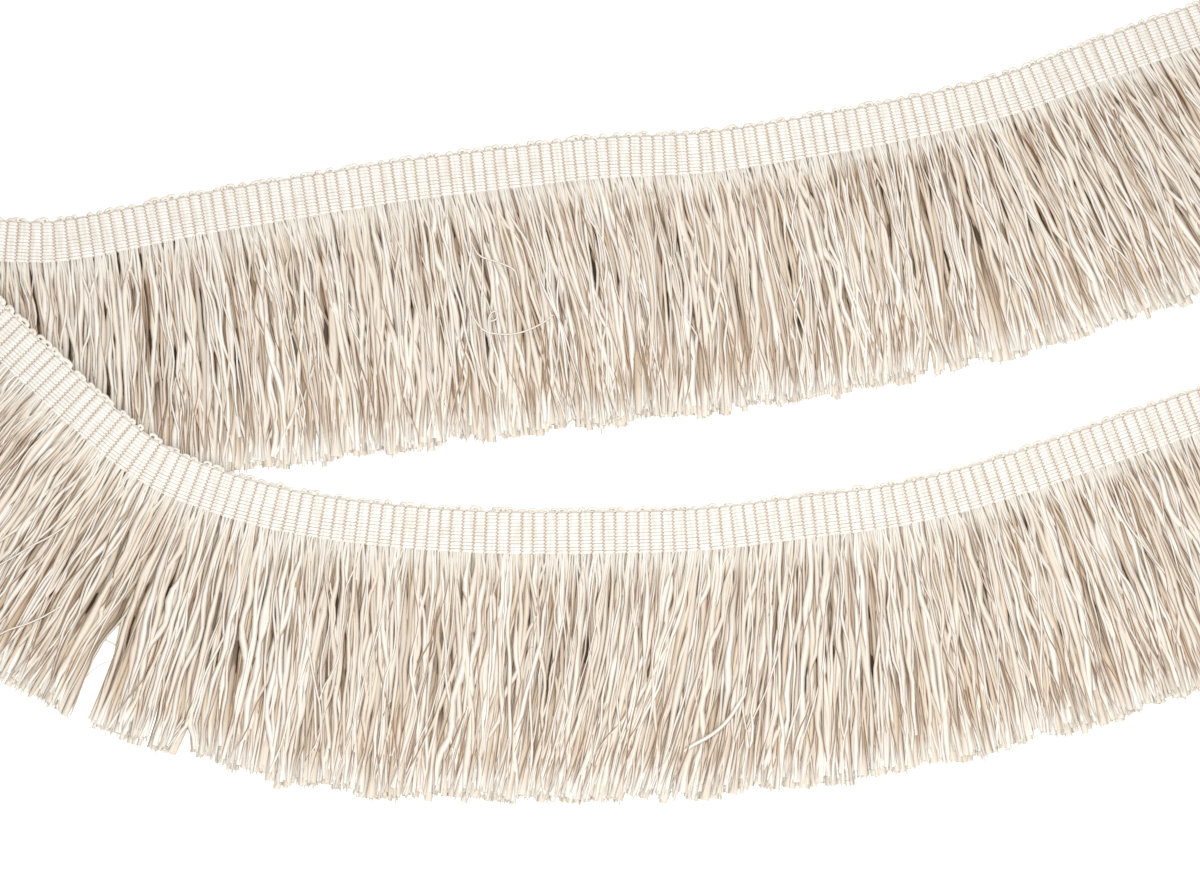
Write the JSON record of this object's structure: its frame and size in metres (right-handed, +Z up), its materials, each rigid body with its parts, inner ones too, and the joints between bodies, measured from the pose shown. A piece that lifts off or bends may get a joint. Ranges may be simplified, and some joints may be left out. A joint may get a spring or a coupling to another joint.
{
  "type": "chainette fringe trim",
  "caption": "Folded cut length of woven ribbed heading with a dense cut yarn fringe, sewn or glued on to edge cushions, curtains and lampshades.",
  "frame": {"origin": "on the table under the middle of the whole outline", "axes": "+Z up from the table, +X along the two runs towards their cut ends, +Y from the fringe tips towards the looped edge"},
  "size_m": [0.4382, 0.223, 0.0068],
  "materials": {
    "heading_cotton": "matte warp-faced weave with raised ribs",
    "fringe_yarn": "matte slubby natural yarn, cut ends"
  },
  "bodies": {
    "root": {"heading": "heading_cotton", "fringe_back_right": "fringe_yarn", "fringe_back_middle": "fringe_yarn", "fringe_back_left": "fringe_yarn", "fringe_fold": "fringe_yarn", "fringe_front_left": "fringe_yarn", "fringe_front_middle": "fringe_yarn", "fringe_front_right": "fringe_yarn"}
  },
  "joints": []
}
